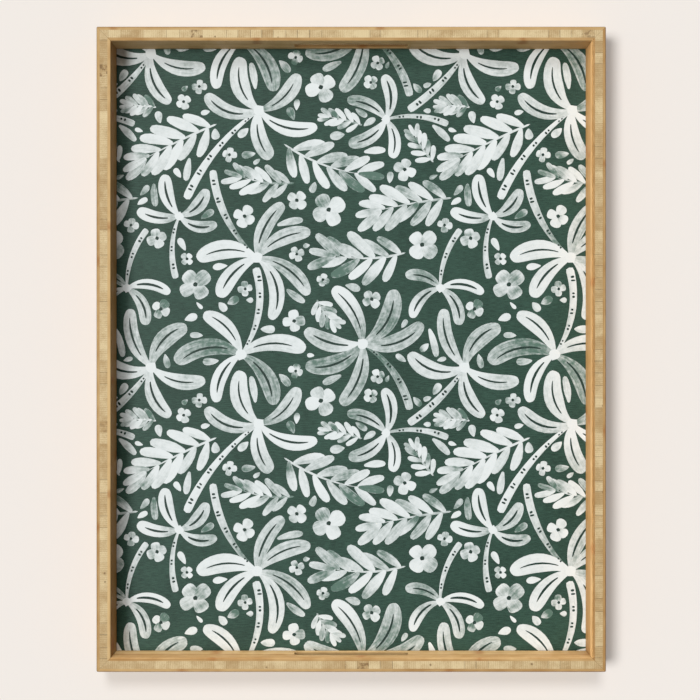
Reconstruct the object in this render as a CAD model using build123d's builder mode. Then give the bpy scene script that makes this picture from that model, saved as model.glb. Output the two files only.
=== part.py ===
from build123d import *
import os

# A serving tray of three-ply bamboo: four mitred rails around a printed panel.
# Millimetres. The origin is at the middle of the underside, +Z up, +Y along the longer side.
# The hand slots are in the two short rails, front_rail at -Y and back_rail at +Y.

# Overall
tray_width = 450.0
tray_length = 570.0
wall_height = 50.0

# Rail plies, from the outer face inwards
outer_ply_thickness = 2.8
core_thickness = 6.9
inner_ply_thickness = 2.8

# Groove for the boards, inside all four rails
lip_height = 3.0
groove_depth = 4.0
board_edge_clearance = 0.5

# Boards, from the bottom up
base_thickness = 4.0
print_board_thickness = 2.7
print_sheet_thickness = 0.3

# Hand slots
slot_width = 102.0
slot_height = 18.4
slot_below_rim = 16.0
slot_corner_radius = 5.0

# Sanded edges
rim_round = 0.9
slot_round = 0.9
foot_round = 0.5
corner_round = 1.2

# V-nails driven up into the mitres from below
nail_leg = 6.0
nail_gauge = 0.5
nail_height = 9.0
nail_recess = 1.0
nail_inset_in_core = 1.3
nail_spacing = 2.6

# Sizes that follow
rail_thickness = outer_ply_thickness + core_thickness + inner_ply_thickness
core_near = outer_ply_thickness
core_far = outer_ply_thickness + core_thickness
well_width = tray_width - 2 * rail_thickness
well_length = tray_length - 2 * rail_thickness
groove_top = lip_height + base_thickness + print_board_thickness + print_sheet_thickness
board_width = well_width + 2 * (groove_depth - board_edge_clearance)
board_length = well_length + 2 * (groove_depth - board_edge_clearance)
slot_middle = wall_height - slot_below_rim - slot_height / 2
nail_depths = [core_near + nail_inset_in_core, core_near + nail_inset_in_core + nail_spacing]

# Each rail by its turn about Z: its run from end to end and its outer face's distance from the origin
rails = {
    "front_rail": (0, tray_width, tray_length / 2),
    "right_rail": (90, tray_length, tray_width / 2),
    "back_rail": (180, tray_width, tray_length / 2),
    "left_rail": (270, tray_length, tray_width / 2),
}

os.makedirs("parts", exist_ok=True)


def save(piece, name):
    """Label a finished piece and write its STEP file."""
    piece.part.label = name
    export_step(piece.part, f"parts/{name}.step")


# V-nails: two in each mitre, placed by the apex and turned so that a leg runs along each rail
nail_places = [
    Location((side_x * (tray_width / 2 - depth), side_y * (tray_length / 2 - depth)), 90 * corner)
    for corner, (side_x, side_y) in enumerate([(-1, -1), (1, -1), (1, 1), (-1, 1)])
    for depth in nail_depths
]


def nail_outlines():
    """Draw the V-nails' outlines in the sketch that is open."""
    with Locations(*nail_places):
        Rectangle(nail_leg, nail_gauge, align=(Align.MIN, Align.CENTER))
        Rectangle(nail_gauge, nail_leg, align=(Align.CENTER, Align.MIN))


with BuildPart() as corner_v_nails:
    with BuildSketch(Plane.XY.offset(nail_recess)):
        nail_outlines()
    extrude(amount=nail_height)
save(corner_v_nails, "corner_v_nails")


# The glued and sanded frame that the pieces of the rails are cut from
with BuildPart() as frame:
    with BuildSketch():
        Rectangle(tray_width, tray_length)
        Rectangle(well_width, well_length, mode=Mode.SUBTRACT)
    extrude(amount=wall_height)
    corners = frame.edges().filter_by(Axis.Z).group_by(SortBy.DISTANCE)[-1]
    fillet(corners, radius=corner_round)
    fillet(frame.faces().sort_by(Axis.Z)[-1].edges(), radius=rim_round)
    fillet(frame.faces().sort_by(Axis.Z)[0].edges(), radius=foot_round)

    # Hand slots through both short rails
    with BuildSketch(Plane.XZ.offset(-tray_length / 2)):
        with Locations((0, slot_middle)):
            RectangleRounded(slot_width, slot_height, slot_corner_radius)
    extrude(amount=tray_length, mode=Mode.SUBTRACT)
    slot_mouths = [
        edge
        for face in frame.faces().filter_by(Axis.Y)
        for wire in face.inner_wires()
        for edge in wire.edges()
    ]
    fillet(slot_mouths, radius=slot_round)

    # Groove for the boards
    with BuildSketch(Plane.XY.offset(lip_height)):
        Rectangle(well_width + 2 * groove_depth, well_length + 2 * groove_depth)
    extrude(amount=groove_top - lip_height, mode=Mode.SUBTRACT)

    # Slits that the V-nails cut, open at the underside
    with BuildSketch():
        nail_outlines()
    extrude(amount=nail_recess + nail_height, mode=Mode.SUBTRACT)


def rail_piece(rail, near, far, low, high):
    """The part of one rail between two depths from its outer face and two heights, mitred at its ends."""
    turn, run, reach = rails[rail]
    with BuildPart() as piece:
        add(frame.part)
        with BuildSketch(Plane.XY.offset(low).rotated((0, 0, turn))):
            Polygon(
                (near - run / 2, near - reach),
                (run / 2 - near, near - reach),
                (run / 2 - far, far - reach),
                (far - run / 2, far - reach),
                align=None,
            )
        extrude(amount=high - low, mode=Mode.INTERSECT)
    return piece


for rail in rails:
    save(rail_piece(rail, 0, core_near, 0, wall_height), f"{rail}_outer_ply")
    save(rail_piece(rail, core_near, core_far, 0, wall_height), f"{rail}_core")
    save(rail_piece(rail, core_far, rail_thickness, groove_top, wall_height), f"{rail}_inner_ply")
    save(rail_piece(rail, core_far, rail_thickness, 0, lip_height), f"{rail}_groove_lip")


def board(thickness, underside):
    """A flat board of the size that the groove holds, with its underside at the given height."""
    with BuildPart() as piece:
        with BuildSketch(Plane.XY.offset(underside)):
            Rectangle(board_width, board_length)
        extrude(amount=thickness)
    return piece


save(board(base_thickness, lip_height), "base_board")
save(board(print_board_thickness, lip_height + base_thickness), "print_board")
save(board(print_sheet_thickness, groove_top - print_sheet_thickness), "print_sheet")
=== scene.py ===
"""A bamboo serving tray: three-ply rails, a panel with a tropical print, and the studio it stands in."""

import logging
import math
from dataclasses import dataclass, field
from enum import Enum

import bmesh
import bpy
import numpy as np
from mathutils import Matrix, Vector


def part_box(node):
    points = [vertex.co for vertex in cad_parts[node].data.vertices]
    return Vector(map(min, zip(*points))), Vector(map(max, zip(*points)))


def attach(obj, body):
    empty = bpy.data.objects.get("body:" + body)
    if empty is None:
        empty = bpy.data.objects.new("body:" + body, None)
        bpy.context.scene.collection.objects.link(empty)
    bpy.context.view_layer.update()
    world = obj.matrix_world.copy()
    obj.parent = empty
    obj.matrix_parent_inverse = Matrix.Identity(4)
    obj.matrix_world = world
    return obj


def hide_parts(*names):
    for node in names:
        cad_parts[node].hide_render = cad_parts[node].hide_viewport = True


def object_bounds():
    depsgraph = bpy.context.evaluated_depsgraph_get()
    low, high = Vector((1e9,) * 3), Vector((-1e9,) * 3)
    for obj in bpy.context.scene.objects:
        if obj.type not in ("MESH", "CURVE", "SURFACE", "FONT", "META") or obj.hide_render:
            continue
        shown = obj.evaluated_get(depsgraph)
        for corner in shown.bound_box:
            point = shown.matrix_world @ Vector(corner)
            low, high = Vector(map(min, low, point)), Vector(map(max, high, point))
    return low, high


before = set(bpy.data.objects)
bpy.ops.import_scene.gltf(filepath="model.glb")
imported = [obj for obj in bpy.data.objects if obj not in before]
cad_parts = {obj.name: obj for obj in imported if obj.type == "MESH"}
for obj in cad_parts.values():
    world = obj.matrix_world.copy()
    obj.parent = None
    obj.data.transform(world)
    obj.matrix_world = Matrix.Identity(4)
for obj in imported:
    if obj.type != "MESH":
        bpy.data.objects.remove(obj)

logging.basicConfig(level=logging.INFO, format="%(message)s")
log = logging.getLogger("tray")

Colour = tuple[float, float, float, float]
Span = tuple[float, float]
Box = tuple[Vector, Vector]
Socket = bpy.types.NodeSocket
Material = bpy.types.Material
Fed = Socket | float | int | str | tuple[float, ...] | bpy.types.Object | Material

ROOT = "root"
MM = 0.001
CAD_BOX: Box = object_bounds()

# How far from a mitre its dark line fades out, and how dark it is.
JOINT_EDGE: Span = (0.1 * MM, 0.32 * MM)
JOINT_SHADE = 0.45

# The rise of the surface's normal where a rounded edge starts and ends, and where a wall starts. The painted
# shade on rounded edges, and the painted shade and light on the inner walls, follow these.
ROUND_FROM: Span = (0.05, 0.35)
ROUND_TO: Span = (0.75, 0.97)
WALL_FADE: Span = (0.2, 0.8)

NEVER_ZERO = 1e-12
PRINT_ROUGHNESS = 0.42
PRINT_SPECULAR = 0.12


class Run(Enum):
    """The direction that a board's grain runs in."""

    ALONG_X = (0, 1)
    ALONG_Y = (1, 0)


class Rail(Enum):
    """The four rails: how far each is turned about Z from the front one, and which way it runs."""

    FRONT = ("front_rail", 0, Run.ALONG_X)
    RIGHT = ("right_rail", 90, Run.ALONG_Y)
    BACK = ("back_rail", 180, Run.ALONG_X)
    LEFT = ("left_rail", 270, Run.ALONG_Y)

    @property
    def label(self) -> str:
        """The rail's name, which its nodes' names start with."""
        return self.value[0]

    @property
    def turn(self) -> float:
        """The rail's turn about Z, in radians."""
        return math.radians(self.value[1])

    @property
    def run(self) -> Run:
        """The way that the rail runs."""
        return self.value[2]


class Paint(Enum):
    """The two paints of the print."""

    WHITE = "white"
    DARK = "dark"


def linear(red: float, green: float, blue: float) -> Colour:
    """Turn a display colour into linear light.

    Args:
        red: The red channel, from 0 to 255.
        green: The green channel, from 0 to 255.
        blue: The blue channel, from 0 to 255.

    Returns:
        The colour that a shader socket takes, with an alpha of 1.
    """
    channels = [c / 255 for c in (red, green, blue)]
    levels = [c / 12.92 if c <= 0.04045 else ((c + 0.055) / 1.055) ** 2.4 for c in channels]
    return (*levels, 1.0)


# ---------------------------------------------------------------- node trees


class Writer:
    """Adds nodes to a tree and feeds their sockets."""

    def __init__(self, tree: bpy.types.NodeTree) -> None:
        """Keep the tree that the nodes go in."""
        self.tree = tree

    def feed(self, socket: Socket, value: Fed) -> None:
        """Link a socket to another, or set its value.

        Args:
            socket: The input to feed.
            value: The output that it reads, or a plain value.
        """
        if isinstance(value, Socket):
            self.tree.links.new(value, socket)
        else:
            socket.default_value = value

    def add(self, kind: str, inputs: dict[str | int, Fed], **settings: object) -> bpy.types.Node:
        """Add a node.

        Args:
            kind: The node's type.
            inputs: A value or a source for each input, by its name or its index.
            **settings: The node's own properties.

        Returns:
            The new node.
        """
        node = self.tree.nodes.new(kind)
        for name, value in settings.items():
            setattr(node, name, value)
        for name, value in inputs.items():
            self.feed(node.inputs[name], value)
        return node

    def math(self, operation: str, first: Fed, second: Fed = 0.0, third: Fed = 0.0) -> Socket:
        """Work out one value from up to three others, and return its socket."""
        inputs = {0: first, 1: second, 2: third}
        return self.add("ShaderNodeMath", inputs, operation=operation).outputs[0]

    def times(self, first: Fed, second: Fed) -> Socket:
        """Return the product of two values."""
        return self.math("MULTIPLY", first, second)

    def less(self, first: Fed, second: Fed) -> Socket:
        """Return the first value less the second."""
        return self.math("SUBTRACT", first, second)

    def total(self, base: Fed, *parts: tuple[Fed, Fed]) -> Fed:
        """Add up weighted values.

        Args:
            base: The value to start from.
            *parts: A value and its weight, for each value that is added.

        Returns:
            The socket of the sum.
        """
        for value, weight in parts:
            base = self.math("MULTIPLY_ADD", value, weight, base)
        return base

    def vector(self, x: Fed, y: Fed, z: Fed) -> Socket:
        """Join three values into a vector, and return its socket."""
        return self.add("ShaderNodeCombineXYZ", {"X": x, "Y": y, "Z": z}).outputs[0]


class Shader(Writer):
    """A material on Object coordinates, written from its textures to its surface."""

    def __init__(self, name: str) -> None:
        """Make the material, with a Principled surface and the object's own coordinates.

        Args:
            name: The material's name.
        """
        self.material = bpy.data.materials.new(name)
        self.material.use_nodes = True
        super().__init__(self.material.node_tree)
        self.surface = self.tree.nodes["Principled BSDF"]
        self.place = self.tree.nodes.new("ShaderNodeTexCoord").outputs["Object"]
        parts = self.add("ShaderNodeSeparateXYZ", {0: self.place})
        self.axes = tuple(parts.outputs)

    def scaled(self, x: float, y: float, z: float) -> Socket:
        """Return the object's coordinates times a scale for each axis."""
        return self.add("ShaderNodeMapping", {"Vector": self.place, "Scale": (x, y, z)}).outputs[0]

    def noise(self, where: Fed, scale: float, detail: float = 3.0, rough: float = 0.5) -> Socket:
        """Return a smooth noise from 0 to 1, with about `scale` features to the unit."""
        inputs = {"Vector": where, "Scale": scale, "Detail": detail, "Roughness": rough}
        return self.add("ShaderNodeTexNoise", inputs).outputs[0]

    def warped(self, where: Fed, scale: float, reach: float) -> Socket:
        """Move coordinates about at random.

        Args:
            where: The coordinates.
            scale: How many bends there are to the metre.
            reach: How far they move, in metres.

        Returns:
            The moved coordinates.
        """
        noise = self.add("ShaderNodeTexNoise", {"Vector": where, "Scale": scale}).outputs["Color"]
        inputs = {0: noise, 1: (reach, reach, reach), 2: where}
        return self.add("ShaderNodeVectorMath", inputs, operation="MULTIPLY_ADD").outputs[0]

    def channel(self, vector: Fed, index: int) -> Socket:
        """Return one channel of a vector or a colour."""
        return self.add("ShaderNodeSeparateXYZ", {0: vector}).outputs[index]

    def mitre(self) -> Socket:
        """Mark the four diagonal joints between the rails.

        Returns:
            The joint's shade on the joints, and 0 a hair away from them.
        """
        low, high = CAD_BOX
        x, y = (self.math("ABSOLUTE", axis) for axis in self.axes[:2])
        offset = ((high.y - low.y) - (high.x - low.x)) / 2
        gap = self.math("ABSOLUTE", self.math("ADD", self.less(x, y), offset))
        return self.span(gap, *JOINT_EDGE, JOINT_SHADE, 0.0)

    def rise(self) -> Socket:
        """Return 1 where the surface lies flat, and 0 where it stands upright."""
        normal = self.tree.nodes.new("ShaderNodeNewGeometry").outputs["Normal"]
        return self.math("ABSOLUTE", self.channel(normal, 2))

    def arris(self) -> Socket:
        """Return 1 where the surface is rounded between flat and upright, and 0 on either."""
        rise = self.rise()
        return self.times(self.span(rise, *ROUND_FROM), self.span(rise, *ROUND_TO, 1.0, 0.0))

    def chance(self, where: Fed, salt: float) -> Socket:
        """Return a value from 0 to 1 that is fixed for each value of `where`."""
        inputs = {"W": self.math("ADD", where, salt)}
        return self.add("ShaderNodeTexWhiteNoise", inputs, noise_dimensions="1D").outputs["Value"]

    def attribute(self, name: str) -> Socket:
        """Return a named attribute of the mesh as a value."""
        return self.add("ShaderNodeAttribute", {}, attribute_name=name).outputs["Fac"]

    def span(self, value: Fed, low: float, high: float, to_low: float = 0.0, to_high: float = 1.0) -> Socket:
        """Map a stretch of a value smoothly to another stretch, and clamp it there."""
        inputs = {"Value": value, "From Min": low, "From Max": high, "To Min": to_low, "To Max": to_high}
        return self.add("ShaderNodeMapRange", inputs, interpolation_type="SMOOTHSTEP").outputs[0]

    def mix(self, share: Fed, first: Fed, second: Fed) -> Socket:
        """Mix two colours, and return the result's socket."""
        return self.add("ShaderNodeMix", {0: share, 6: first, 7: second}, data_type="RGBA").outputs[2]

    def bump(self, height: Fed, depth: float, strength: float = 1.0) -> None:
        """Raise the surface by a height from 0 to 1, times a depth in metres."""
        inputs = {"Height": height, "Distance": depth, "Strength": strength}
        self.feed(self.surface.inputs["Normal"], self.add("ShaderNodeBump", inputs).outputs[0])

    def finish(self, colour: Fed, roughness: Fed, specular: float = 0.5, metallic: float = 0.0) -> Material:
        """Give the surface its colour and gloss.

        Args:
            colour: The base colour.
            roughness: The roughness.
            specular: The specular level.
            metallic: 1 for metal.

        Returns:
            The finished material.
        """
        self.feed(self.surface.inputs["Base Color"], colour)
        self.feed(self.surface.inputs["Roughness"], roughness)
        self.surface.inputs["Specular IOR Level"].default_value = specular
        self.surface.inputs["Metallic"].default_value = metallic
        return self.material


class GrowTree(Writer):
    """A Geometry Nodes tree with named inputs, which grows one plain mesh."""

    def __init__(self, name: str) -> None:
        """Make an empty tree with a geometry output.

        Args:
            name: The tree's name.
        """
        super().__init__(bpy.data.node_groups.new(name, "GeometryNodeTree"))
        self.tree.interface.new_socket("Geometry", in_out="OUTPUT", socket_type="NodeSocketGeometry")
        self.given: dict[str, Fed] = {}
        self.source = self.tree.nodes.new("NodeGroupInput")

    def knob(self, name: str, kind: str, value: Fed) -> Socket:
        """Add a named input.

        Args:
            name: The input's name.
            kind: Float, Int, Object or Material.
            value: What the modifier sets it to.

        Returns:
            The socket that other nodes read.
        """
        item = self.tree.interface.new_socket(name, in_out="INPUT", socket_type=f"NodeSocket{kind}")
        self.given[item.identifier] = value
        return self.source.outputs[name]

    def knobs(self, kind: str, values: dict[str, Fed]) -> list[Socket]:
        """Add a named input of one kind for each value, and return the sockets in order."""
        return [self.knob(name, kind, value) for name, value in values.items()]

    def random(self, low: Fed, high: Fed, index: Fed, seed: Fed) -> Socket:
        """Draw a random value.

        Args:
            low: The least that it may be.
            high: The most that it may be.
            index: Picks the value.
            seed: Picks the whole series.

        Returns:
            A value that is fixed for each index and seed.
        """
        inputs = {"Min_001": low, "Max_001": high, "ID": index, "Seed": seed}
        node = self.add("FunctionNodeRandomValue", {}, data_type="FLOAT")
        sockets = {socket.identifier: socket for socket in node.inputs}
        for identifier, value in inputs.items():
            self.feed(sockets[identifier], value)
        return next(socket for socket in node.outputs if socket.identifier == "Value_001")

    def grow(self, name: str, geometry: Socket, material: Fed) -> bpy.types.Object:
        """Close the tree, run it once and keep its result as a plain mesh.

        Args:
            name: The new object's name.
            geometry: The tree's last geometry, instances and all.
            material: The material input.

        Returns:
            An object at the origin with no modifier.
        """
        real = self.add("GeometryNodeRealizeInstances", {"Geometry": geometry}).outputs[0]
        dressed = self.add("GeometryNodeSetMaterial", {"Geometry": real, "Material": material}).outputs[0]
        self.add("NodeGroupOutput", {"Geometry": dressed})
        holder = bpy.data.objects.new(name + "_tree", bpy.data.meshes.new(name + "_tree"))
        bpy.context.scene.collection.objects.link(holder)
        modifier = holder.modifiers.new(self.tree.name, "NODES")
        modifier.node_group = self.tree
        for identifier, value in self.given.items():
            modifier[identifier] = value
        grown = holder.evaluated_get(bpy.context.evaluated_depsgraph_get())
        mesh = bpy.data.meshes.new_from_object(grown)
        bpy.data.objects.remove(holder)
        return new_object(name, mesh)


def new_object(name: str, mesh: bpy.types.Mesh) -> bpy.types.Object:
    """Put a mesh in the scene as an object at the origin.

    Args:
        name: The object's name, which its mesh takes too.
        mesh: The mesh.

    Returns:
        The object.
    """
    mesh.name = name
    piece = bpy.data.objects.new(name, mesh)
    bpy.context.scene.collection.objects.link(piece)
    return piece


def dress(node: str, material: Material) -> None:
    """Give a CAD node its finish.

    Args:
        node: The node's name.
        material: The material that it shows.
    """
    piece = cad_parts[node]
    piece.data.materials.clear()
    piece.data.materials.append(material)
    log.info("%s: %s", node, material.name)


# ---------------------------------------------------------------- finishes


@dataclass(frozen=True)
class BambooPly:
    """Face ply of flat-pressed bamboo: lamellae along the grain, fibres, warm knuckles and glue lines.

    The weights say how much each texture turns the pale tone to brown. Upright faces also take a painted
    shade or a painted light, and rounded edges take a painted shade in the seam colour.
    """

    name: str
    run: Run
    pale: Colour = linear(215, 182, 129)
    brown: Colour = linear(166, 125, 75)
    knuckle: Colour = linear(160, 104, 56)
    seam: Colour = linear(74, 50, 28)
    dimness: float = 0.0
    # Painted shade or painted light on upright faces: above 0 is darker, below 0 is paler.
    wall_dimness: float = 0.0
    balance: float = 0.98
    tone_weight: float = 0.5
    streak_weight: float = 0.9
    smudge_weight: float = 0.6
    fibre_scale: float = 900.0
    fibre_run_scale: float = 12.0
    streak_share: float = 0.2
    lamella: float = 19.5 * MM
    row_offset: float = 0.35
    glue_width: float = 0.012
    glue_shade: float = 0.5
    glue_sink: float = 0.6
    knuckle_spacing: float = 236 * MM
    knuckle_width: float = 7.0 * MM
    knuckle_scatter: float = 5.0
    knuckle_wave: float = 0.03
    knuckle_warmth: float = 0.6
    ring: Span = (0.04, 0.14)
    ring_warmth: float = 0.5
    # Painted shade: how far rounded edges turn to the seam colour.
    worn: float = 0.0
    salt: float = 0.0
    flat: bool = False
    relief: float = 0.12 * MM
    gloss: Span = (0.46, 0.62)
    specular: float = 0.06

    def rows(self, shader: Shader) -> tuple[Socket, Socket]:
        """Lay the lamellae side by side.

        Args:
            shader: The material's shader.

        Returns:
            Each lamella's number, and how near the glue line between two of them is.
        """
        across = shader.axes[self.run.value[1] if self.flat else 2]
        rows = shader.math("ADD", shader.math("DIVIDE", across, self.lamella), self.row_offset + self.salt)
        inside = shader.math("FRACT", rows)
        edge = shader.math("MINIMUM", inside, shader.less(1.0, inside))
        return shader.math("FLOOR", rows), shader.span(edge, 0.0, self.glue_width, 1.0, 0.0)

    def knuckles(self, shader: Shader, row: Socket) -> Socket:
        """Warm the bamboo at its knuckles, which lie elsewhere in each lamella.

        Args:
            shader: The material's shader.
            row: The lamella's number.

        Returns:
            How warm the bamboo is.
        """
        step = shader.math("DIVIDE", shader.axes[self.run.value[0]], self.knuckle_spacing)
        wave = shader.noise(shader.place, 160.0, 1.0)
        place = shader.chance(row, 3.1 + self.salt)
        step = shader.total(step, (place, self.knuckle_scatter), (wave, self.knuckle_wave))
        centred = shader.math("ABSOLUTE", shader.less(shader.math("FRACT", step), 0.5))
        reach = self.knuckle_width / self.knuckle_spacing
        warm = shader.span(centred, 0.0, reach, self.knuckle_warmth, 0.0)
        inner, outer = (reach * share for share in self.ring)
        return shader.math("MAXIMUM", warm, shader.span(centred, inner, outer, self.ring_warmth, 0.0))

    def material(self) -> Material:
        """Build the material.

        Returns:
            A satin bamboo whose grain follows the run.
        """
        shader = Shader(self.name)
        stretch = [self.fibre_scale] * 3
        stretch[self.run.value[0]] = self.fibre_run_scale
        fibre = shader.noise(shader.scaled(*stretch), 1.0, 4.0, 0.6)
        streak = shader.noise(shader.scaled(*(scale * self.streak_share for scale in stretch)), 1.0, 2.0)
        smudge = shader.noise(shader.place, 75.0, 3.0)
        row, glue = self.rows(shader)
        share = shader.total(
            self.dimness - self.balance,
            (fibre, 1.0),
            (shader.chance(row, self.salt * 7.3), self.tone_weight),
            (streak, self.streak_weight),
            (smudge, self.smudge_weight),
            # Painted shade or painted light: upright faces turn browner or paler.
            (shader.span(shader.rise(), *WALL_FADE, 1.0, 0.0), self.wall_dimness),
        )
        colour = shader.mix(shader.span(share, 0.0, 1.0), self.pale, self.brown)
        colour = shader.mix(self.knuckles(shader, row), colour, self.knuckle)
        colour = shader.mix(shader.times(glue, self.glue_shade), colour, self.seam)
        if not self.flat:
            colour = shader.mix(shader.mitre(), colour, self.seam)
        # Painted shade: rounded edges darkened towards the seam colour.
        colour = shader.mix(shader.times(shader.arris(), self.worn), colour, self.seam)
        shader.bump(shader.less(fibre, shader.times(glue, self.glue_sink)), self.relief, 0.5)
        return shader.finish(colour, shader.span(fibre, 0.2, 0.9, *self.gloss), self.specular)


@dataclass(frozen=True)
class BambooCore:
    """End grain of the core's strips: each has its own tone, growth lines, bundles and small scars.

    The weights say how much each texture turns the pale tone to tan.
    """

    name: str
    run: Run
    pale: Colour = linear(222, 201, 157)
    tan: Colour = linear(174, 143, 97)
    pith: Colour = linear(104, 74, 40)
    dimness: float = 0.0
    balance: float = 0.73
    tone_weight: float = 0.5
    spot_weight: float = 0.3
    line_weight: float = 0.2
    smudge_weight: float = 1.2
    fleck_weight: float = 0.5
    line_pitch: float = 1.9 * MM
    line_wander: float = 2.6
    bundle_pitch: float = 0.95 * MM
    scar_pitch: float = 9.0 * MM
    scar_wander: float = 3.5 * MM
    scar_edge: Span = (0.05, 0.16)
    scar_shade: float = 0.75
    scar_rarity: float = 0.8
    dark_strips: Span = (0.95, 0.98)
    dark_shade: float = 0.65
    relief: float = 0.08 * MM
    gloss: Span = (0.5, 0.64)
    specular: float = 0.15

    def scars(self, shader: Shader, tone: Socket) -> Socket:
        """Scatter small scars, and stain a few whole strips.

        Args:
            shader: The material's shader.
            tone: The strips' tone.

        Returns:
            How dark the scars and stains are.
        """
        bent = shader.warped(shader.scaled(1.0, 1.0, 0.1), 90.0, self.scar_wander)
        sites = {"Vector": bent, "Scale": 1 / self.scar_pitch, "Randomness": 1.0}
        cells = shader.add("ShaderNodeTexVoronoi", sites)
        chosen = shader.math("GREATER_THAN", shader.channel(cells.outputs["Color"], 0), self.scar_rarity)
        scar = shader.span(cells.outputs["Distance"], *self.scar_edge, self.scar_shade, 0.0)
        patch = shader.span(shader.noise(shader.place, 260.0, 2.0), 0.48, 0.6)
        stain = shader.times(shader.times(shader.span(tone, *self.dark_strips), patch), self.dark_shade)
        return shader.math("MAXIMUM", stain, shader.times(chosen, scar))

    def material(self) -> Material:
        """Build the material.

        Returns:
            A satin end grain that reads the strips' `tone`.
        """
        shader = Shader(self.name)
        tone = shader.attribute("tone")
        cell = 1 / self.bundle_pitch
        flat = shader.scaled(cell, cell, cell * 0.02)
        bundles = shader.add("ShaderNodeTexVoronoi", {"Vector": flat, "Scale": 1.0, "Randomness": 0.8})
        spots = shader.span(bundles.outputs["Distance"], 0.12, 0.42, 1.0, 0.0)
        along = shader.math("DIVIDE", shader.axes[self.run.value[0]], self.line_pitch)
        drift = shader.noise(shader.place, 220.0, 2.0)
        phase = shader.total(shader.times(along, math.tau), (drift, self.line_wander))
        lines = shader.total(0.5, (shader.math("SINE", phase), 0.5))
        fleck = shader.noise(shader.place, 900.0, 3.0)
        share = shader.total(
            self.dimness - self.balance,
            (tone, self.tone_weight),
            (spots, self.spot_weight),
            (lines, self.line_weight),
            (shader.noise(shader.place, 110.0, 3.0), self.smudge_weight),
            (fleck, self.fleck_weight),
        )
        colour = shader.mix(shader.span(share, -0.1, 1.1), self.pale, self.tan)
        colour = shader.mix(self.scars(shader, tone), colour, self.pith)
        colour = shader.mix(shader.mitre(), colour, self.pith)
        shader.bump(shader.less(1.0, shader.math("ADD", spots, fleck)), self.relief, 0.5)
        return shader.finish(colour, shader.span(fleck, 0.2, 0.9, *self.gloss), self.specular)


@dataclass(frozen=True)
class PrintGround:
    """The sheet's dark green ground, with a faint weave from side to side.

    The weights say how much each texture deepens the green.
    """

    name: str = "print_ground"
    green: Colour = linear(57, 88, 75)
    deep: Colour = linear(31, 53, 44)
    balance: float = 0.8
    weave_weight: float = 1.1
    grain_weight: float = 0.9
    cloud_weight: float = 0.6
    relief: float = 0.05 * MM

    def material(self) -> Material:
        """Build the material.

        Returns:
            A smooth printed green.
        """
        shader = Shader(self.name)
        cloud = shader.noise(shader.place, 28.0, 3.0)
        weave = shader.noise(shader.scaled(160.0, 1100.0, 1.0), 1.0, 2.0)
        grain = shader.noise(shader.place, 1300.0, 2.0)
        weights = (weave, self.weave_weight), (grain, self.grain_weight), (cloud, self.cloud_weight)
        share = shader.total(-self.balance, *weights)
        colour = shader.mix(shader.span(share, 0.0, 1.0), self.green, self.deep)
        shader.bump(shader.math("ADD", weave, grain), self.relief, 0.4)
        return shader.finish(colour, PRINT_ROUGHNESS, PRINT_SPECULAR)


@dataclass(frozen=True)
class PrintPaint:
    """The white paint, which thins to a grey-green wash where its strokes are less opaque.

    The weights say how much each texture adds to the white. Pools and streaks show most in thin paint.
    """

    name: str = "print_paint"
    white: Colour = linear(227, 233, 233)
    wash: Colour = linear(88, 116, 104)
    brush_scale: tuple[float, float, float] = (70.0, 800.0, 1.0)
    thinness: float = 1.27
    pool_weight: float = 1.1
    streak_weight: float = 0.7
    tooth_weight: float = 0.16
    rim: Span = (0.72, 1.0)
    rim_gain: Span = (-0.22, 0.36)
    relief: float = 0.04 * MM

    def material(self) -> Material:
        """Build the material.

        Returns:
            A paint that reads how opaque each point is, and where it lies under its brush.
        """
        shader = Shader(self.name)
        opacity = shader.attribute("opacity")
        brush = shader.add("ShaderNodeAttribute", {}, attribute_name="brush").outputs["Vector"]
        drawn = shader.add("ShaderNodeMapping", {"Vector": brush, "Scale": self.brush_scale}).outputs[0]
        streak = shader.less(shader.noise(drawn, 1.0, 2.0), 0.5)
        pool = shader.less(shader.noise(shader.place, 210.0, 4.0, 0.62), 0.5)
        tooth = shader.less(shader.noise(shader.place, 1100.0, 2.0), 0.5)
        thin = shader.less(self.thinness, opacity)
        base, slope = self.rim_gain
        share = shader.total(
            opacity,
            (shader.times(pool, thin), self.pool_weight),
            (shader.times(streak, thin), self.streak_weight),
            (tooth, self.tooth_weight),
            (shader.span(shader.attribute("rim"), *self.rim), shader.total(base, (thin, slope))),
        )
        colour = shader.mix(shader.span(share, 0.0, 1.0), self.wash, self.white)
        shader.bump(shader.math("ADD", share, tooth), self.relief, 0.3)
        return shader.finish(colour, PRINT_ROUGHNESS, PRINT_SPECULAR)


@dataclass(frozen=True)
class FibreBoard:
    """Raw edge and underside of thin pressed fibre board."""

    name: str = "fibre_board"
    light: Colour = linear(150, 118, 84)
    dark: Colour = linear(112, 84, 56)
    relief: float = 0.1 * MM

    def material(self) -> Material:
        """Build the material.

        Returns:
            A rough brown board.
        """
        shader = Shader(self.name)
        fluff = shader.noise(shader.place, 1500.0, 4.0, 0.7)
        shader.bump(fluff, self.relief, 0.5)
        return shader.finish(shader.mix(fluff, self.light, self.dark), 0.8, 0.2)


@dataclass(frozen=True)
class NailSteel:
    """Bright rolled steel with a fine brushed grain."""

    name: str = "nail_steel"
    bright: Colour = linear(196, 197, 200)
    dull: Colour = linear(150, 150, 154)
    relief: float = 0.02 * MM
    gloss: Span = (0.25, 0.45)

    def material(self) -> Material:
        """Build the material.

        Returns:
            A bright brushed metal.
        """
        shader = Shader(self.name)
        brushed = shader.noise(shader.scaled(900.0, 900.0, 5000.0), 1.0, 2.0)
        shader.bump(brushed, self.relief, 0.4)
        colour = shader.mix(brushed, self.bright, self.dull)
        return shader.finish(colour, shader.span(brushed, 0.0, 1.0, *self.gloss), metallic=1.0)


@dataclass(frozen=True)
class PaleFloor:
    """The studio's warm off-white floor."""

    name: str = "pale_floor"
    shade: Colour = linear(238, 232, 226)

    def material(self) -> Material:
        """Build the material, and return it."""
        return Shader(self.name).finish(self.shade, 0.9, 0.1)


# ---------------------------------------------------------------- rails


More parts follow.
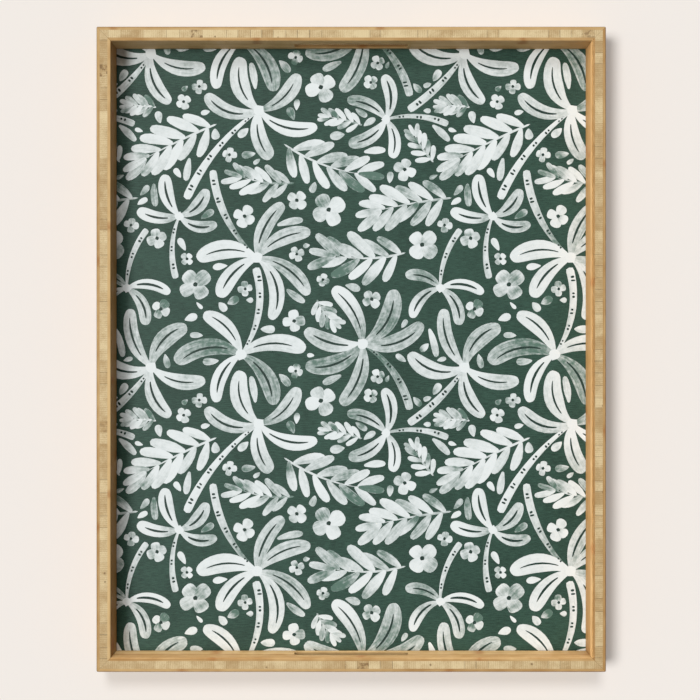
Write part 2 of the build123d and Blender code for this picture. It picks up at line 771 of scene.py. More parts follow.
@dataclass
class RailSet:
    """The four rails: strips grown inside each core, and a finish on each ply."""

    strip_pitch: float = 10.5 * MM
    edge_play: float = 0.9 * MM
    tight_gap: float = 0.05 * MM
    open_gap: float = 0.3 * MM
    open_share: float = 0.22
    core_dimness: tuple[float, ...] = (0.0, 0.14, -0.08, 0.06)
    outer_dimness: tuple[float, ...] = (-0.15, 0.15, -0.35, 0.12)
    inner_dimness: tuple[float, ...] = (0.08, 0.5, 0.08, -0.3)
    # Painted shade on the left inner wall, and painted light on the right and back inner walls.
    wall_dimness: tuple[float, ...] = (0.0, -0.24, -0.35, 0.9)
    merge: float = 0.002 * MM
    spare: float = 2 * MM
    seed: int = 11

    def strips(self, rail: Rail, number: int) -> None:
        """Grow the strips of one core and trim them to its shape, as separate blocks with a `tone` each.

        Args:
            rail: The rail.
            number: The rail's number, which picks its random strips.
        """
        node = f"{rail.label}_core"
        low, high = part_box(node)
        size = high - low
        core = BambooCore(f"bamboo_core_{rail.label}", rail.run, dimness=self.core_dimness[number])
        tree = GrowTree(f"{rail.label}_strip_row")
        sizes = {
            "Strip Pitch": self.strip_pitch,
            "Edge Play": self.edge_play,
            "Tight Gap": self.tight_gap,
            "Open Gap": self.open_gap,
            "Open Share": self.open_share,
            "Run": max(size.x, size.y),
            "Depth": min(size.x, size.y) + self.spare,
            "Height": size.z + self.spare,
        }
        pitch, play, tight, wide, share, length, thick, tall = tree.knobs("Float", sizes)
        seed = tree.knob("Seed", "Int", self.seed + number)
        shape = tree.knob("Core", "Object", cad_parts[node])
        finish = tree.knob("Material", "Material", core.material())

        count = tree.math("ADD", tree.math("CEIL", tree.math("DIVIDE", length, pitch)), 2.0)
        start = tree.vector(tree.times(tree.times(tree.less(count, 1.0), pitch), -0.5), 0.0, 0.0)
        ends = {"Count": count, "Start Location": start, "Offset": tree.vector(pitch, 0.0, 0.0)}
        line = tree.add("GeometryNodeMeshLine", ends).outputs[0]
        index = tree.tree.nodes.new("GeometryNodeInputIndex").outputs[0]
        after, back = tree.math("ADD", index, 1.0), tree.times(play, -1.0)
        near, far = tree.random(back, play, index, seed), tree.random(back, play, after, seed)
        shift = tree.vector(tree.times(tree.math("ADD", near, far), 0.5), 0.0, 0.0)
        opened = tree.math("LESS_THAN", tree.random(0.0, 1.0, index, tree.math("ADD", seed, 50.0)), share)
        gap = tree.total(tight, (opened, wide))
        width = tree.less(tree.math("ADD", pitch, tree.less(far, near)), gap)
        moved = tree.add("GeometryNodeSetPosition", {"Geometry": line, "Offset": shift}).outputs[0]
        block = tree.add("GeometryNodeMeshCube", {"Size": (1.0, 1.0, 1.0)}).outputs["Mesh"]
        blocks = {"Points": moved, "Instance": block, "Scale": tree.vector(width, thick, tall)}
        row = tree.add("GeometryNodeInstanceOnPoints", blocks).outputs[0]
        loose = tree.add("GeometryNodeRealizeInstances", {"Geometry": row}).outputs[0]
        place = {"Geometry": loose, "Translation": (low + high) / 2, "Rotation": (0.0, 0.0, rail.turn)}
        turned_row = tree.add("GeometryNodeTransform", place).outputs[0]
        whole = tree.add("GeometryNodeObjectInfo", {"Object": shape}).outputs["Geometry"]
        merged = {"Geometry": whole, "Distance": self.merge}
        solid = tree.add("GeometryNodeMergeByDistance", merged).outputs[0]
        cut = tree.add("GeometryNodeMeshBoolean", {}, operation="INTERSECT", solver="EXACT")
        tree.feed(cut.inputs["Mesh 2"], turned_row)
        tree.feed(cut.inputs["Mesh 2"], solid)
        island = tree.tree.nodes.new("GeometryNodeInputMeshIsland").outputs["Island Index"]
        marks = {"Geometry": cut.outputs[0], "Name": "tone", "Value": tree.random(0.0, 1.0, island, seed)}
        toned = tree.add("GeometryNodeStoreNamedAttribute", marks, data_type="FLOAT", domain="FACE")
        piece = tree.grow(f"{rail.label}_core_strips", toned.outputs[0], finish)
        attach(piece, ROOT)
        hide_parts(node)
        log.info("%s: %d faces", piece.name, len(piece.data.polygons))

    def build(self) -> None:
        """Make and dress all four rails."""
        for number, rail in enumerate(Rail):
            self.strips(rail, number)
            for share, part in enumerate(("outer_ply", "inner_ply", "groove_lip")):
                salt = 0.37 * number + 0.21 * share
                outer = part == "outer_ply"
                dimness = (self.outer_dimness if outer else self.inner_dimness)[number]
                # Painted shade or painted light on the inner ply's upright faces.
                wall = self.wall_dimness[number] if part == "inner_ply" else 0.0
                # Painted shade on rounded edges: strong on outer plies, faint on the rest.
                name, worn = f"bamboo_{rail.label}_{part}", 0.7 if outer else 0.1
                ply = BambooPly(name, rail.run, salt=salt, dimness=dimness, wall_dimness=wall, worn=worn)
                dress(f"{rail.label}_{part}", ply.material())


@dataclass
class Boards:
    """The boards under the print, and the nails that hold the mitres."""

    def build(self) -> None:
        """Dress the boards and the nails."""
        base = BambooPly("bamboo_base", Run.ALONG_Y, lamella=21 * MM, salt=0.6, flat=True)
        dress("base_board", base.material())
        dress("print_board", FibreBoard().material())
        dress("print_sheet", PrintGround().material())
        dress("corner_v_nails", NailSteel().material())


# ---------------------------------------------------------------- the print


@dataclass(frozen=True)
class Brush:
    """The outline of a stroke, as shares of its length and its width."""

    root: float
    belly: float
    bluntness: float
    heel: float = 0.05
    rows: int = 10
    across: int = 5

    def stations(self) -> np.ndarray:
        """Return places along the stroke from 0 to 1, closer together at both ends."""
        return (1 - np.cos(np.linspace(0, math.pi, self.rows))) / 2

    def half_width(self, place: np.ndarray) -> np.ndarray:
        """Work out the outline, which is 1 at the belly and 0 at both ends.

        Args:
            place: Places along the stroke.

        Returns:
            The half width at each place.
        """
        rise = self.root + (1 - self.root) * np.sin(np.clip(place / self.belly, 0, 1) * math.pi / 2)
        past = np.clip((place - self.belly) / (1 - self.belly), 0, 1)
        fall = np.power(np.clip(1 - past**self.bluntness, 0, 1), 1 / self.bluntness)
        start = np.sqrt(np.clip(1 - (1 - np.clip(place / self.heel, 0, 1)) ** 2, 0, 1))
        return rise * fall * start


FROND = Brush(root=0.16, belly=0.6, bluntness=2.7, rows=18)
TRUNK = Brush(root=0.3, belly=0.95, bluntness=3.0, heel=0.02, rows=16)
LEAFLET = Brush(root=0.3, belly=0.55, bluntness=2.5, rows=9, across=3)
PETAL = Brush(root=0.3, belly=0.62, bluntness=2.4, heel=0.08)
BUD = Brush(root=0.15, belly=0.62, bluntness=2.2, heel=0.08)
STEM = Brush(root=0.7, belly=0.3, bluntness=1.2, across=3)
RIB = Brush(root=0.5, belly=0.5, bluntness=2.0, across=3)
DASH = Brush(root=0.9, belly=0.5, bluntness=3.0, heel=0.25, rows=6, across=3)
DOT = Brush(root=0.0, belly=0.5, bluntness=2.0, heel=0.5, rows=9, across=3)


def turned(points: np.ndarray, angle: float) -> np.ndarray:
    """Turn points about the origin.

    Args:
        points: Rows of x and y.
        angle: The turn in radians, anticlockwise.

    Returns:
        The turned points.
    """
    cos, sin = math.cos(angle), math.sin(angle)
    return points @ np.array([[cos, sin], [-sin, cos]])


def towards(angle: float) -> np.ndarray:
    """Return the unit vector that points along an angle in radians."""
    return np.array([math.cos(angle), math.sin(angle)])


@dataclass
class Stroke:
    """One brush mark: its centre line and half width in metres, and how opaque its paint is."""

    line: np.ndarray
    half: np.ndarray
    opacity: np.ndarray
    paint: Paint
    level: int

    def placed(self, turn: float, shift: np.ndarray) -> "Stroke":
        """Return a copy that is turned about the origin, then moved."""
        return Stroke(turned(self.line, turn) + shift, self.half, self.opacity, self.paint, self.level)

    def at(self, share: float) -> tuple[np.ndarray, float, float]:
        """Find a point on the stroke's centre line.

        Args:
            share: How far along the stroke it is, from 0 to 1.

        Returns:
            The point, the heading there in radians, and the half width.
        """
        steps = np.linalg.norm(np.diff(self.line, axis=0), axis=1)
        run = np.concatenate([[0.0], np.cumsum(steps)]) / steps.sum()
        point = np.array([np.interp(share, run, self.line[:, k]) for k in (0, 1)])
        row = int(np.clip(np.searchsorted(run, share), 1, len(self.line) - 1))
        ahead = self.line[row] - self.line[row - 1]
        return point, math.atan2(ahead[1], ahead[0]), float(np.interp(share, run, self.half))


class Wash:
    """How opaque the strokes are: most are full, some are thin, and a few are faint."""

    FULL: Span = (0.72, 0.98)
    THIN: Span = (0.54, 0.75)
    FAINT: Span = (0.38, 0.52)
    THIN_FROM = 0.74
    FAINT_FROM = 0.94
    FADED_SHARE = 0.45
    FADED: Span = (0.25, 0.65)
    EVEN: Span = (0.0, 0.15)
    REACH: Span = (0.3, 0.55)
    LEAN = 0.1


@dataclass
class Motif:
    """A plant of the print, drawn about its own origin, stroke over stroke."""

    rng: np.random.Generator
    strokes: list[Stroke] = field(default_factory=list)
    wobble: float = 0.05
    wobble_waves: Span = (5, 9)
    wobble_phase: Span = (0, 6)
    arc_points: int = 64

    def draw(self) -> "Motif":
        """Draw the plant, and return it."""
        raise NotImplementedError

    def washed(self, brush: Brush, places: np.ndarray) -> np.ndarray:
        """Choose how opaque a stroke is.

        Args:
            brush: The stroke's brush.
            places: The stations along the stroke.

        Returns:
            A row for each station and a column for each of the points across it.
        """
        kind = self.rng.random()
        full = self.rng.uniform(*Wash.FULL)
        if kind > Wash.FAINT_FROM:
            full = self.rng.uniform(*Wash.FAINT)
        elif kind > Wash.THIN_FROM:
            full = self.rng.uniform(*Wash.THIN)
        fade = self.rng.uniform(*(Wash.FADED if self.rng.random() < Wash.FADED_SHARE else Wash.EVEN))
        focus, reach = self.rng.uniform(0.0, 1.0), self.rng.uniform(*Wash.REACH)
        side = np.linspace(-1, 1, brush.across)
        lean = self.rng.uniform(-Wash.LEAN, Wash.LEAN)
        pool = np.exp(-(((places - focus) / reach) ** 2))
        body = full - fade * pool[:, None] + lean * side[None, :]
        return np.clip(body, 0.0, 1.0)

    def stroke(
        self,
        brush: Brush,
        start: np.ndarray,
        angle: float,
        length: float,
        width: float,
        bend: float = 0.0,
        paint: Paint = Paint.WHITE,
    ) -> Stroke:
        """Draw one stroke along an arc.

        Args:
            brush: Its outline.
            start: Where it starts.
            angle: The heading that it starts with, in radians.
            length: Its length in metres.
            width: Its width at the belly in metres.
            bend: How far it turns over its length, in radians.
            paint: Its paint.

        Returns:
            The stroke, which is also added to the motif.
        """
        places = brush.stations()
        fine = np.linspace(0, 1, self.arc_points)
        heading = angle + bend * fine
        steps = np.stack([np.cos(heading), np.sin(heading)], axis=1) * length / (len(fine) - 1)
        path = np.vstack([[0.0, 0.0], np.cumsum((steps[1:] + steps[:-1]) / 2, axis=0)]) + start
        line = np.stack([np.interp(places, fine, path[:, k]) for k in (0, 1)], axis=1)
        waves, phase = self.rng.uniform(*self.wobble_waves), self.rng.uniform(*self.wobble_phase)
        wobble = 1 + self.wobble * np.sin(places * waves + phase)
        half = brush.half_width(places) * width / 2 * wobble
        full = np.ones((len(places), brush.across))
        opacity = self.washed(brush, places) if paint is Paint.WHITE else full
        made = Stroke(line, half, opacity, paint, len(self.strokes))
        self.strokes.append(made)
        return made

    def samples(self) -> tuple[np.ndarray, np.ndarray]:
        """Sample the white paint.

        Returns:
            Points on the motif, and how far the paint reaches around each.
        """
        white = [s for s in self.strokes if s.paint is Paint.WHITE]
        points, reach = np.vstack([s.line for s in white]), np.concatenate([s.half for s in white])
        middles = np.vstack([(s.line[1:] + s.line[:-1]) / 2 for s in white])
        between = np.concatenate([(s.half[1:] + s.half[:-1]) / 2 for s in white])
        return np.vstack([points, middles]), np.concatenate([reach, between])


@dataclass
class Palm(Motif):
    """A palm: a crown of arched fronds with open ribs, on a bowed and banded trunk."""

    fronds: int = 5
    frond: float = 52 * MM
    width: float = 15.2 * MM
    trunk: float = 92 * MM
    trunk_share: float = 0.48
    crown_share: float = 0.7
    bow: float = 0.7
    bow_start: float = 0.3
    clear: float = math.radians(34)
    sway: float = 0.13
    upright: float = 0.5
    arch: Span = (0.85, 1.55)
    length_play: Span = (0.88, 1.12)
    width_play: Span = (0.84, 1.14)
    rib_start: Span = (0.2, 0.28)
    rib_end: Span = (0.8, 0.89)
    rib_width: Span = (1.6 * MM, 2.5 * MM)
    band_spacing: float = 17 * MM
    dash_offset: float = 1.6 * MM
    dash_sway: float = 0.2
    dash_side: float = 0.3
    dash_reach: Span = (0.7, 1.2)
    dash_width: Span = (1.5 * MM, 2.1 * MM)

    def draw(self) -> "Palm":
        """Draw the trunk, then the fronds and their ribs.

        Returns:
            The palm.
        """
        bow = self.bow * self.rng.choice([-1, 1])
        lean, width = -bow * self.bow_start, self.width * self.trunk_share
        trunk = self.stroke(TRUNK, np.zeros(2), lean, self.trunk, width, bow)
        self.bands(trunk)
        free = (math.tau - 2 * self.clear) / self.fronds
        swirl = self.rng.choice([-1, 1])
        for number in range(self.fronds):
            angle = self.clear + free * (number + 0.5) + self.rng.uniform(-self.sway, self.sway)
            droop = -1 if angle < math.pi else 1
            way = droop if abs(angle - math.pi) > self.upright else swirl
            bend = -way * self.rng.uniform(*self.arch)
            length = self.frond * self.rng.uniform(*self.length_play)
            width = self.width * self.rng.uniform(*self.width_play)
            self.rib(self.stroke(FROND, np.zeros(2), angle - bend * 0.5, length, width, bend))
        knot = self.width * self.crown_share
        crown = self.stroke(DOT, np.array([-knot / 2, 0.0]), 0.0, knot, knot)
        crown.opacity[:] = 1.0
        return self

    def rib(self, frond: Stroke) -> None:
        """Leave a dark rib open along the middle of a frond.

        Args:
            frond: The frond's stroke.
        """
        first, heading, _ = frond.at(self.rng.uniform(*self.rib_start))
        last, after, _ = frond.at(self.rng.uniform(*self.rib_end))
        bend = math.remainder(after - heading, math.tau)
        arc_over_chord = 1 + bend**2 / 24
        length = float(np.linalg.norm(last - first)) * arc_over_chord
        self.stroke(RIB, first, heading, length, self.rng.uniform(*self.rib_width), bend, Paint.DARK)

    def bands(self, trunk: Stroke) -> None:
        """Mark the trunk with pairs of short dark dashes.

        Args:
            trunk: The trunk's stroke.
        """
        count = max(2, round(self.trunk / self.band_spacing))
        for number in range(count):
            middle, heading, half = trunk.at((number + 0.9) / (count + 0.6))
            side = self.rng.uniform(-self.dash_side, self.dash_side)
            for step in (-self.dash_offset, self.dash_offset):
                across = heading + math.pi / 2 + self.rng.uniform(-self.dash_sway, self.dash_sway)
                reach = half * self.rng.uniform(*self.dash_reach)
                begin = middle + towards(heading) * step + towards(across) * (side * half - reach / 2)
                self.stroke(DASH, begin, across, reach, self.rng.uniform(*self.dash_width), 0.0, Paint.DARK)


@dataclass
class Sprig(Motif):
    """A leafy sprig: a thin bowed stem with close leaflets on both sides and one at its tip."""

    length: float = 84 * MM
    stem_width: float = 2.2 * MM
    bow: Span = (0.1, 0.7)
    pairs: int = 6
    leaf: float = 28 * MM
    leaf_width: float = 8.4 * MM
    spread: float = 0.94
    narrowing: float = 0.34
    spread_play: Span = (0.86, 1.14)
    size_play: Span = (0.9, 1.1)
    curl: Span = (0.0, 0.5)
    stagger: float = 0.022
    stagger_play: float = 0.012
    first_pair: float = 0.1
    pair_run: float = 0.84
    least_size: float = 0.84
    swell: float = 0.26
    swell_place: Span = (0.15, 0.75)
    tip: float = 0.97
    tip_overhang: float = 0.6
    tip_size: Span = (0.86, 0.85)

    def draw(self) -> "Sprig":
        """Draw the stem, then the leaflets from the foot to the tip.

        Returns:
            The sprig.
        """
        bend = self.rng.uniform(*self.bow) * self.rng.choice([-1, 1])
        body = self.length - self.leaf * self.tip_overhang
        stem = self.stroke(STEM, np.zeros(2), -bend / 2, body, self.stem_width, bend)
        for number in range(self.pairs):
            share = self.first_pair + self.pair_run * number / (self.pairs - 1)
            swollen = self.swell_place[0] + self.swell_place[1] * share
            belly = self.least_size + self.swell * math.sin(math.pi * swollen)
            for side in (1, -1):
                play = self.rng.uniform(-self.stagger_play, self.stagger_play)
                start, heading, _ = stem.at(share + side * self.stagger + play)
                lean = (self.spread - self.narrowing * share) * self.rng.uniform(*self.spread_play)
                angle = heading + side * lean
                size = belly * self.rng.uniform(*self.size_play)
                curl = -side * self.rng.uniform(*self.curl)
                self.stroke(LEAFLET, start, angle, self.leaf * size, self.leaf_width * size, curl)
        start, heading, _ = stem.at(self.tip)
        long, wide = self.tip_size
        self.stroke(LEAFLET, start, heading, self.leaf * long, self.leaf_width * wide)
        return self


@dataclass
class Flower(Motif):
    """A four-petalled flower with a dark eye."""

    radius: float = 15 * MM
    eye: float = 4.3 * MM
    petals: int = 4
    sway: float = 0.14
    length_play: Span = (0.92, 1.08)
    width_play: Span = (0.86, 1.0)
    bend: float = 0.2

    def draw(self) -> "Flower":
        """Draw the petals and the eye.

        Returns:
            The flower.
        """
        for number in range(self.petals):
            angle = math.tau / self.petals * number + self.rng.uniform(-self.sway, self.sway)
            length = self.radius * self.rng.uniform(*self.length_play)
            width = self.radius * self.rng.uniform(*self.width_play)
            self.stroke(PETAL, np.zeros(2), angle, length, width, self.rng.uniform(-self.bend, self.bend))
        self.stroke(DOT, np.array([-self.eye / 2, 0.0]), 0.0, self.eye, self.eye, 0.0, Paint.DARK)
        return self


@dataclass
class Bud(Motif):
    """A lone bud or blade."""

    length: float = 14 * MM
    width: float = 7.5 * MM
    brush: Brush = BUD
    bend: float = 0.4

    def draw(self) -> "Bud":
        """Draw the one stroke, centred on the origin.

        Returns:
            The bud.
        """
        start = np.array([-self.length / 2, 0.0])
        self.stroke(self.brush, start, 0.0, self.length, self.width, self.rng.uniform(-self.bend, self.bend))
        return self


Sizes = dict[str, float | Span | Brush]


@dataclass(frozen=True)
class Plant:
    """One kind of plant: how many are wanted, and its sizes, where a pair is the limits of a random one."""

    label: str
    count: int
    kind: type[Motif]
    sizes: Sizes

    def drawn(self, rng: np.random.Generator) -> Motif:
        """Draw one plant.

        Args:
            rng: Draws the random sizes, in their order.

        Returns:
            The plant.
        """
        chosen = dict(self.sizes)
        for name, limits in self.sizes.items():
            if isinstance(limits, tuple):
                whole = isinstance(limits[0], int)
                chosen[name] = int(rng.integers(*limits)) if whole else rng.uniform(*limits)
        return self.kind(rng, **chosen).draw()


LARGE_PALM: Sizes = {
    "trunk": (72 * MM, 112 * MM),
    "frond": (52 * MM, 62 * MM),
    "fronds": (5, 7),
    "bow": (0.3, 1.0),
}
SMALL_PALM: Sizes = {
    "fronds": 4,
    "frond": 38 * MM,
    "width": 11.8 * MM,
    "trunk": 58 * MM,
    "clear": math.radians(50),
}
LARGE_FLOWER: Sizes = {"radius": (13.5 * MM, 16 * MM)}
TWIG: Sizes = {"length": (30 * MM, 40 * MM), "pairs": 5, "leaf": 13 * MM, "leaf_width": 4.6 * MM}

PLANTING: tuple[Plant, ...] = (
    Plant("large palms", 5, Palm, LARGE_PALM),
    Plant("small palms", 3, Palm, SMALL_PALM),
    Plant("long sprigs", 7, Sprig, {"length": (82 * MM, 98 * MM)}),
    Plant("large flowers", 3, Flower, LARGE_FLOWER),
    Plant("short sprigs", 16, Sprig, {"length": (48 * MM, 64 * MM), "leaf": 20 * MM, "leaf_width": 6 * MM}),
    Plant("more large flowers", 3, Flower, LARGE_FLOWER),
    Plant("medium flowers", 7, Flower, {"radius": (8.6 * MM, 10.4 * MM), "eye": 3.5 * MM}),
    Plant("twigs", 6, Sprig, TWIG),
    Plant("blades", 9, Bud, {"length": (18 * MM, 27 * MM), "width": 6.6 * MM, "brush": LEAFLET}),
    Plant("small flowers", 11, Flower, {"radius": (5.8 * MM, 7.2 * MM), "eye": 2.8 * MM}),
    Plant("buds", 30, Bud, {"length": (10 * MM, 15 * MM), "width": (5.2 * MM, 8 * MM)}),
    Plant("specks", 14, Bud, {"length": (6 * MM, 9 * MM), "width": (3.4 * MM, 5 * MM)}),
)


@dataclass
class TileLayout:
    """Packs motifs on a square tile whose opposite edges meet, so that it repeats without a seam."""

    side: float
    gap: float = 1.1 * MM
    cell: float = 1.0 * MM
    tries: int = 4000
    patience: int = 4
    seed: int = 17

    def __post_init__(self) -> None:
        """Start with an empty tile."""
        self.rng = np.random.default_rng(self.seed)
        self.count = round(self.side / self.cell)
        self.clear = np.full((self.count, self.count), self.side)
        self.strokes: list[Stroke] = []

    def cells(self, points: np.ndarray) -> tuple[np.ndarray, np.ndarray]:
        """Return the column and the row of the cell that holds each point."""
        index = np.floor(points / self.side * self.count).astype(int) % self.count
        return index[..., 0], index[..., 1]

    def block(self, points: np.ndarray, reach: np.ndarray) -> None:
        """Take the room around some points out of the tile.

        Args:
            points: The points.
            reach: How far the paint reaches around each.
        """
        axis = (np.arange(self.count) + 0.5) * self.side / self.count
        for (x, y), radius in zip(points % self.side, reach):
            wide, tall = np.abs(axis - x), np.abs(axis - y)
            wide, tall = np.minimum(wide, self.side - wide), np.minimum(tall, self.side - tall)
            np.minimum(self.clear, np.hypot(wide[:, None], tall[None, :]) - radius, out=self.clear)

    def place(self, motif: Motif) -> bool:
        """Put a motif where it lies closest to its neighbours.

        Args:
            motif: The motif, drawn about its origin.

        Returns:
            Whether there was room for it.
        """
        points, reach = motif.samples()
        turns = self.rng.uniform(0, math.tau, self.tries)
        shifts = self.rng.uniform(0, self.side, (self.tries, 2))
        cos, sin = np.cos(turns)[:, None], np.sin(turns)[:, None]
        x = points[:, 0] * cos - points[:, 1] * sin + shifts[:, :1]
        y = points[:, 0] * sin + points[:, 1] * cos + shifts[:, 1:]
        room = self.clear[self.cells(np.stack([x, y], axis=-1))]
        fits = (room - reach - self.gap).min(axis=1) > 0
        if not fits.any():
            return False
        slack = np.where(fits, room.mean(axis=1), np.inf)
        best = int(slack.argmin())
        self.block(np.stack([x[best], y[best]], axis=-1), reach)
        self.strokes += [s.placed(float(turns[best]), shifts[best]) for s in motif.strokes]
        return True

    def fill(self, plant: Plant) -> None:
        """Place plants of one kind, and stop early once several in a row find no room.

        Args:
            plant: The kind, and how many are wanted.
        """
        placed, missed = 0, 0
        while placed < plant.count and missed < self.patience:
            if self.place(plant.drawn(self.rng)):
                placed, missed = placed + 1, 0
            else:
                missed += 1
        log.info("print: %d of %d %s", placed, plant.count, plant.label)


@dataclass
class Print:
    """The painted print on the sheet: one square tile of plants, repeated over the well's floor."""

    repeat: float = 284 * MM
    film: float = 0.03 * MM
    layer: float = 0.008 * MM
    dark_level: int = 32
    trim: float = 0.1 * MM
    weld: float = 1e-7
    brush_step: float = 0.37

    def stroke_mesh(self, stroke: Stroke, first: int) -> tuple[list, list, list]:
        """Turn a stroke into a thin closed slab.

        Args:
            stroke: The stroke.
            first: The number of its first vertex.

        Returns:
            Its vertices, its faces, and at each vertex the opacity and the place under the brush.
        """
        line, half, across = stroke.line, stroke.half, stroke.opacity.shape[1]
        tangent = np.gradient(line, axis=0)
        tangent /= np.linalg.norm(tangent, axis=1)[:, None] + NEVER_ZERO
        normal = np.stack([-tangent[:, 1], tangent[:, 0]], axis=1)
        run = np.concatenate([[0.0], np.cumsum(np.linalg.norm(np.diff(line, axis=0), axis=1))])
        level = stroke.level if stroke.paint is Paint.WHITE else self.dark_level
        top, bottom = self.film + self.layer * level, self.layer * max(0, level - 1)
        side = np.linspace(-1, 1, across)
        count, last = len(line) - 2, len(line) - 1
        vertices = [(*line[0], top)]
        values = [(stroke.opacity[0, across // 2], first, run[0], 0.0, 1.0)]
        for row in range(1, last):
            for column, share in enumerate(side):
                vertices.append((*(line[row] + normal[row] * half[row] * share), top))
                values.append((stroke.opacity[row, column], first, run[row], share * half[row], abs(share)))
        vertices.append((*line[-1], top))
        values.append((stroke.opacity[-1, across // 2], first, run[-1], 0.0, 1.0))
        tip = 1 + count * across
        edge = [0, *range(1, tip, across), tip, *range(tip - 1, 0, -across)]
        under = tip + 1
        vertices += [(*vertices[v][:2], bottom) for v in edge]
        values += [values[v] for v in edge]
        faces = []
        for column in range(1, across):
            faces += [(0, column, column + 1), (tip - column, tip - column - 1, tip)]
            for row in range(count - 1):
                a = row * across + column
                faces.append((a, a + across, a + across + 1, a + 1))
        ring = len(edge)
        faces += [(edge[k], edge[(k + 1) % ring], under + (k + 1) % ring, under + k) for k in range(ring)]
        for row in range(count + 1):
            corners = [row, row + 1, ring - row - 1, (ring - row) % ring]
            faces.append([under + k for k in dict.fromkeys(corners)])
        return vertices, [[first + v for v in face] for face in faces], values

    def tile_mesh(self, name: str, strokes: list[Stroke]) -> bpy.types.Object:
        """Join strokes into one mesh on the sheet's face.

        Args:
            name: The mesh's name.
            strokes: The strokes in tile coordinates.

        Returns:
            A scratch object with the attributes `opacity`, `brush` and `rim`.
        """
        vertices, faces, values = [], [], []
        for stroke in strokes:
            more, shape, marks = self.stroke_mesh(stroke, len(vertices))
            vertices += more
            faces += shape
            values += marks
        mesh = bpy.data.meshes.new(name)
        mesh.from_pydata(vertices, [], faces)
        table = np.array(values, np.float32)
        brush = np.stack([table[:, 2], table[:, 3], table[:, 1] * self.brush_step], axis=1)
        for label, kind, slot, data in (
            ("opacity", "FLOAT", "value", table[:, 0]),
            ("rim", "FLOAT", "value", table[:, 4]),
            ("brush", "FLOAT_VECTOR", "vector", brush),
        ):
            mesh.attributes.new(label, kind, "POINT").data.foreach_set(slot, data.ravel())
        shape = bmesh.new()
        shape.from_mesh(mesh)
        bmesh.ops.recalc_face_normals(shape, faces=shape.faces)
        shape.to_mesh(mesh)
        shape.free()
        return new_object(name, mesh)

    def repeated(self, name: str, tile: bpy.types.Object, material: Material) -> bpy.types.Object:
        """Repeat a tile over the sheet.

        Args:
            name: The piece's name.
            tile: The scratch object with one tile.
            material: Its finish.

        Returns:
            The repeated mesh, which still runs past the sheet's edges.
        """
        low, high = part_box("print_sheet")
        tree = GrowTree(f"{name}_repeat")
        source = tree.knob("Tile", "Object", tile)
        pitch = tree.knob("Repeat", "Float", self.repeat)
        tiles = [math.ceil(side / self.repeat) + 2 for side in (high - low)[:2]]
        columns, rows = tree.knobs("Int", {"Columns": tiles[0], "Rows": tiles[1]})
        finish = tree.knob("Material", "Material", material)
        wide = tree.times(pitch, tree.less(columns, 1.0))
        tall = tree.times(pitch, tree.less(rows, 1.0))
        sizes = {"Size X": wide, "Size Y": tall, "Vertices X": columns, "Vertices Y": rows}
        grid = tree.add("GeometryNodeMeshGrid", sizes).outputs["Mesh"]
        place = {"Geometry": grid, "Translation": (0.0, 0.0, high.z)}
        raised = tree.add("GeometryNodeTransform", place).outputs[0]
        drawn = tree.add("GeometryNodeObjectInfo", {"Object": source}).outputs["Geometry"]
        spread = tree.add("GeometryNodeInstanceOnPoints", {"Points": raised, "Instance": drawn})
        return tree.grow(name, spread.outputs[0], finish)

    def trimmed(self, piece: bpy.types.Object) -> None:
        """Cut a piece off at the well's four walls, and close its cut edges.

        Args:
            piece: The piece.
        """
        left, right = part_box("left_rail_inner_ply")[1].x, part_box("right_rail_inner_ply")[0].x
        front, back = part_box("front_rail_inner_ply")[1].y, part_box("back_rail_inner_ply")[0].y
        shape = bmesh.new()
        shape.from_mesh(piece.data)
        for place, outwards in (
            ((left + self.trim, 0, 0), (-1, 0, 0)),
            ((right - self.trim, 0, 0), (1, 0, 0)),
            ((0, front + self.trim, 0), (0, -1, 0)),
            ((0, back - self.trim, 0), (0, 1, 0)),
        ):
            geometry = [*shape.verts, *shape.edges, *shape.faces]
            plane = {"plane_co": place, "plane_no": outwards, "clear_outer": True}
            bmesh.ops.bisect_plane(shape, geom=geometry, dist=self.weld, **plane)
            rim = [edge for edge in shape.edges if edge.is_boundary]
            bmesh.ops.holes_fill(shape, edges=rim, sides=0)
        shape.to_mesh(piece.data)
        shape.free()

    def build(self) -> None:
        """Draw one tile, repeat it and lay it on the sheet, as one piece for each paint."""
        layout = TileLayout(self.repeat)
        for plant in PLANTING:
            layout.fill(plant)
        dark = PrintGround("print_dark_green", linear(44, 69, 60), linear(27, 45, 39)).material()
        for name, paint, material in (
            ("print_white_strokes", Paint.WHITE, PrintPaint().material()),
            ("print_dark_marks", Paint.DARK, dark),
        ):
            tile = self.tile_mesh(name + "_tile", [s for s in layout.strokes if s.paint is paint])
            piece = self.repeated(name, tile, material)
            bpy.data.objects.remove(tile)
            self.trimmed(piece)
            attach(piece, ROOT)
            log.info("%s: %d faces", piece.name, len(piece.data.polygons))


# ---------------------------------------------------------------- the studio


@dataclass(frozen=True)
class SoftSun:
    """A far soft light, which falls on everything or on a few nodes alone."""

    name: str
    lean: tuple[float, float]
    share: float
    spread: float = math.radians(13)
    only: tuple[str, ...] = ()

    def hang(self, level: float) -> None:
        """Hang the light.

        Args:
            level: The light that a floor would need to show its full colour.
        """
        source = Vector((-self.lean[0], -self.lean[1], 1.0))
        lamp = bpy.data.lights.new(self.name, "SUN")
        lamp.angle = self.spread
        lamp.energy = math.pi * level * self.share * source.length
        holder = bpy.data.objects.new(self.name, lamp)
        bpy.context.scene.collection.objects.link(holder)
        holder.rotation_euler = source.to_track_quat("Z", "Y").to_euler()
        if self.only:
            lit = bpy.data.collections.new(self.name)
            for node in self.only:
                lit.objects.link(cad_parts[node])
            holder.light_linking.receiver_collection = lit


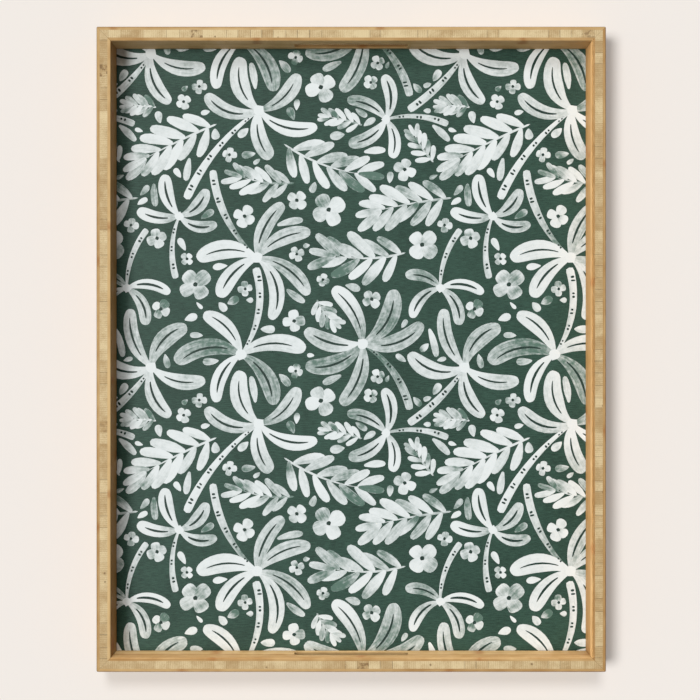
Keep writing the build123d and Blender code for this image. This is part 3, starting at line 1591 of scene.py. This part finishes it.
@dataclass
class Studio:
    """A pale floor, soft lights from the left and the back, and a camera above.

    A light's lean is how far a shadow falls along x and y for each unit of height.
    """

    floor_size: float = 12.0
    floor_gap: float = 0.2 * MM
    backdrop: Colour = linear(238, 231, 223)
    level: float = 1.085
    fill: float = 0.185
    suns: tuple[SoftSun, ...] = (
        SoftSun("left_light", lean=(0.33, 0.0), share=0.55, spread=math.radians(15)),
        SoftSun("back_light", lean=(0.06, -0.43), share=0.22),
        SoftSun("right_wall_light", lean=(9.5, 0.0), share=0.112, only=("right_rail_inner_ply",)),
        SoftSun("front_wall_light", lean=(0.0, -11.5), share=0.082, only=("front_rail_inner_ply",)),
    )
    camera_height: float = 1.56
    camera_foot: tuple[float, float] = (-2.5 * MM, -16.7 * MM)
    field_width: float = 618.2 * MM
    sensor: float = 36.0
    shift: tuple[float, float] = (0.0023, 0.026)

    def floor(self) -> None:
        """Lay the floor under the tray."""
        low, _ = CAD_BOX
        half = self.floor_size / 2
        mesh = bpy.data.meshes.new("floor")
        corners = [(-half, -half), (half, -half), (half, half), (-half, half)]
        mesh.from_pydata([(x, y, low.z - self.floor_gap) for x, y in corners], [], [(0, 1, 2, 3)])
        piece = new_object("floor", mesh)
        piece.data.materials.append(PaleFloor().material())

    def camera(self) -> None:
        """Set the camera straight above the tray."""
        _, high = CAD_BOX
        lens = bpy.data.cameras.new("camera")
        lens.sensor_width = self.sensor
        lens.lens = self.sensor * self.camera_height / self.field_width
        lens.shift_x, lens.shift_y = self.shift
        holder = bpy.data.objects.new("camera", lens)
        bpy.context.scene.collection.objects.link(holder)
        holder.location = (*self.camera_foot, high.z + self.camera_height)
        bpy.context.scene.camera = holder

    def build(self) -> None:
        """Set up the floor, the lights and the camera."""
        self.floor()
        for sun in self.suns:
            sun.hang(self.level)
        world = bpy.data.worlds.new("studio")
        world.use_nodes = True
        sky = Writer(world.node_tree)
        glow = world.node_tree.nodes["Background"]
        sky.feed(glow.inputs["Color"], (1.0, 1.0, 1.0, 1.0))
        sky.feed(glow.inputs["Strength"], self.level * self.fill)
        wall = sky.add("ShaderNodeBackground", {"Color": self.backdrop, "Strength": 1.0})
        seen = sky.add("ShaderNodeLightPath", {}).outputs["Is Camera Ray"]
        both = sky.add("ShaderNodeMixShader", {0: seen, 1: glow.outputs[0], 2: wall.outputs[0]})
        sky.feed(world.node_tree.nodes["World Output"].inputs["Surface"], both.outputs[0])
        bpy.context.scene.world = world
        bpy.context.scene.view_settings.view_transform = "Standard"
        self.camera()
        log.info("studio: floor, soft lights, fill and camera")


def corners(box: Box) -> list[list[float]]:
    """Return a box as plain lists of numbers."""
    return [[round(value, 6) for value in corner] for corner in box]


def main() -> None:
    """Build the tray and the studio in order."""
    for part in (RailSet(), Boards(), Print(), Studio()):
        part.build()


if __name__ == "__main__":
    main()
